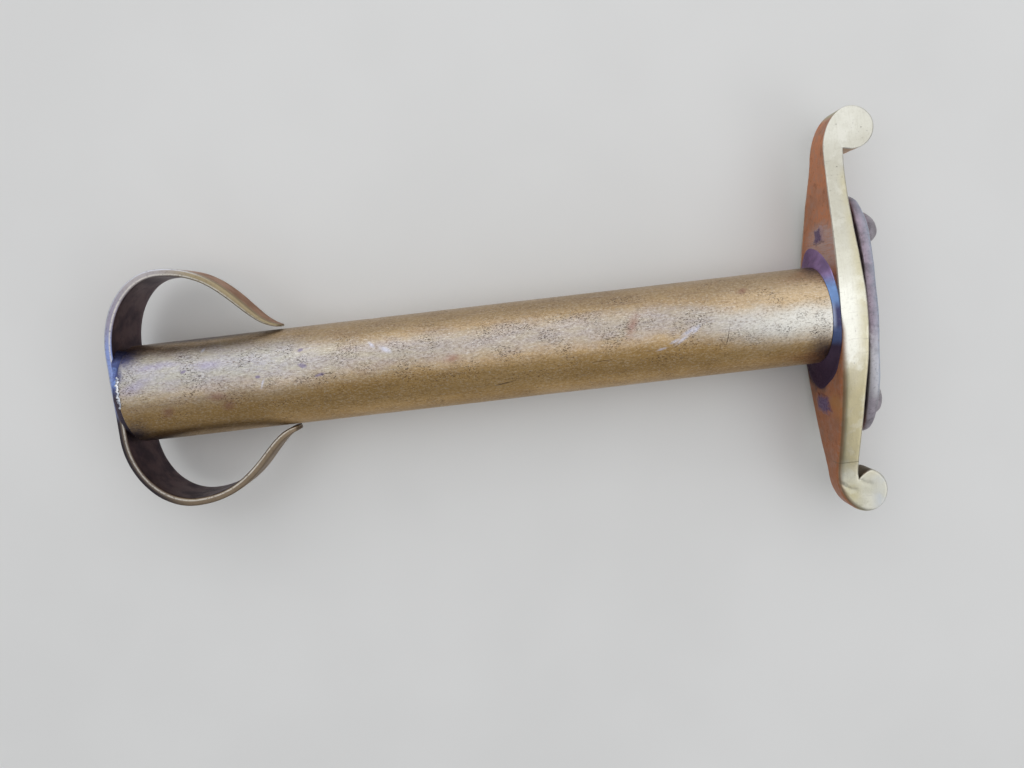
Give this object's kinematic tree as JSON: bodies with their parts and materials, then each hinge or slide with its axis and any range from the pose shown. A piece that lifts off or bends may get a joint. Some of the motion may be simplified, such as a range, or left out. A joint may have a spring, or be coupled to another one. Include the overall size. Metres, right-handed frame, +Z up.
{
  "type": "brass handle",
  "caption": "Brass tube handle with a scrolled crossguard backed by a riveted iron plate, and at its other end a bent strap with sprung loops that press on the tube.",
  "frame": {"origin": "centre of the bottom of the object's box, on the surface that it lies on", "axes": "+X along the tube from the strap to the guard, +Y along the guard to its upper scroll, +Z up"},
  "size_m": [0.1499, 0.0794, 0.0198],
  "materials": {
    "tube_brass": "aged satin, pitted",
    "strap_brass": "dull, dark inside the loops",
    "guard_brass": "worn bright along the edges",
    "iron": "dark patina",
    "solder": "dark tarnish"
  },
  "bodies": {
    "handle": {"grip_tube": "tube_brass", "seat_spigot": "tube_brass", "end_plug": "tube_brass", "root_collar": "solder", "crossguard": "guard_brass", "guard_plate": "iron", "upper_rivet": "iron", "lower_rivet": "iron", "strap_solder": "solder", "strap_bridge": "strap_brass"},
    "upper_clip": {"upper_strap_arm": "strap_brass"},
    "lower_clip": {"lower_strap_arm": "strap_brass"}
  },
  "joints": [
    {"name": "upper_clip_flex", "type": "hinge", "parent": "handle", "child": "upper_clip", "pos_m": [-0.0742, 0.0093, 0.0099], "axis": [0, 0, 1], "range_deg": [0, 5], "stiffness_Nm_per_rad": 6.5},
    {"name": "lower_clip_flex", "type": "hinge", "parent": "handle", "child": "lower_clip", "pos_m": [-0.0742, -0.0077, 0.0099], "axis": [0, 0, -1], "range_deg": [0, 5], "stiffness_Nm_per_rad": 6.5}
  ]
}
